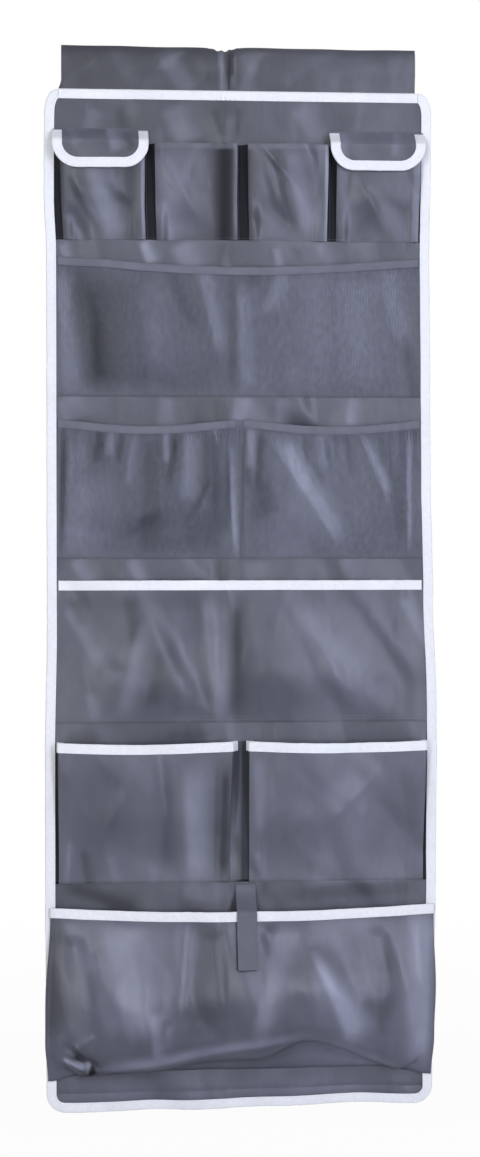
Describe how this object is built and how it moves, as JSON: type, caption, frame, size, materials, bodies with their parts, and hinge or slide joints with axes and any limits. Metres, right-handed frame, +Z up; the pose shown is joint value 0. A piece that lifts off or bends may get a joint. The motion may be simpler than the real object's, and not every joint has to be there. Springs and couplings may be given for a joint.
{
  "type": "hanging pocket organizer",
  "caption": "Long bound cloth panel that hangs from a rod sleeve, with rows of cloth and net pockets, flaps over the outer small ones and a strap over the deep bottom one.",
  "frame": {"origin": "middle of the rod sleeve's tunnel, on the axis of the rod that the organizer hangs from", "axes": "+X to the right seen from the front, -Y the way the pockets face, +Z up along the panel"},
  "size_m": [0.4416, 0.0505, 1.1929],
  "materials": {
    "coated_cloth": "soft satin, finely woven and coated",
    "knitted_net": "matt, fine openwork knit",
    "white_tape": "matt, folded and stitched",
    "grey_elastic": "matt, ribbed",
    "grey_webbing": "matt, ribbed weave",
    "hook_and_loop": "matt, fuzzy"
  },
  "bodies": {
    "sleeve": {"hanging_sleeve": "coated_cloth"},
    "panel": {"back_panel": "coated_cloth", "top_binding": "white_tape", "edge_binding": "white_tape", "small_pocket_1": "coated_cloth", "small_pocket_2": "coated_cloth", "small_pocket_3": "coated_cloth", "small_pocket_4": "coated_cloth", "left_flap_loop_patch": "hook_and_loop", "right_flap_loop_patch": "hook_and_loop", "wide_net_pocket": "knitted_net", "wide_net_elastic": "grey_elastic", "left_gathered_pocket": "knitted_net", "left_gathered_elastic": "grey_elastic", "right_gathered_pocket": "knitted_net", "right_gathered_elastic": "grey_elastic", "wide_pocket": "coated_cloth", "wide_pocket_binding": "white_tape", "left_large_pocket": "coated_cloth", "left_large_binding": "white_tape", "right_large_pocket": "coated_cloth", "right_large_binding": "white_tape", "bottom_pocket": "coated_cloth", "bottom_binding": "white_tape", "strap_loop_patch": "hook_and_loop"},
    "left_flap": {"left_flap": "coated_cloth", "left_flap_binding": "white_tape", "left_flap_hook_patch": "hook_and_loop"},
    "right_flap": {"right_flap": "coated_cloth", "right_flap_binding": "white_tape", "right_flap_hook_patch": "hook_and_loop"},
    "strap": {"closure_strap": "grey_webbing", "strap_hook_patch": "hook_and_loop"}
  },
  "joints": [
    {"name": "panel_fold", "type": "hinge", "parent": "sleeve", "child": "panel", "pos_m": [0, 0, -0.0302], "axis": [-1, 0, 0], "range_deg": [0, 90]},
    {"name": "left_flap_hinge", "type": "hinge", "parent": "panel", "child": "left_flap", "pos_m": [-0.1542, -0.0012, -0.0732], "axis": [-1, 0, 0], "range_deg": [0, 115]},
    {"name": "right_flap_hinge", "type": "hinge", "parent": "panel", "child": "right_flap", "pos_m": [0.1542, -0.0012, -0.0732], "axis": [-1, 0, 0], "range_deg": [0, 115]},
    {"name": "strap_hinge", "type": "hinge", "parent": "panel", "child": "strap", "pos_m": [0.004, -0.0015, -0.9217], "axis": [-1, 0, 0], "range_deg": [0, 100]}
  ]
}
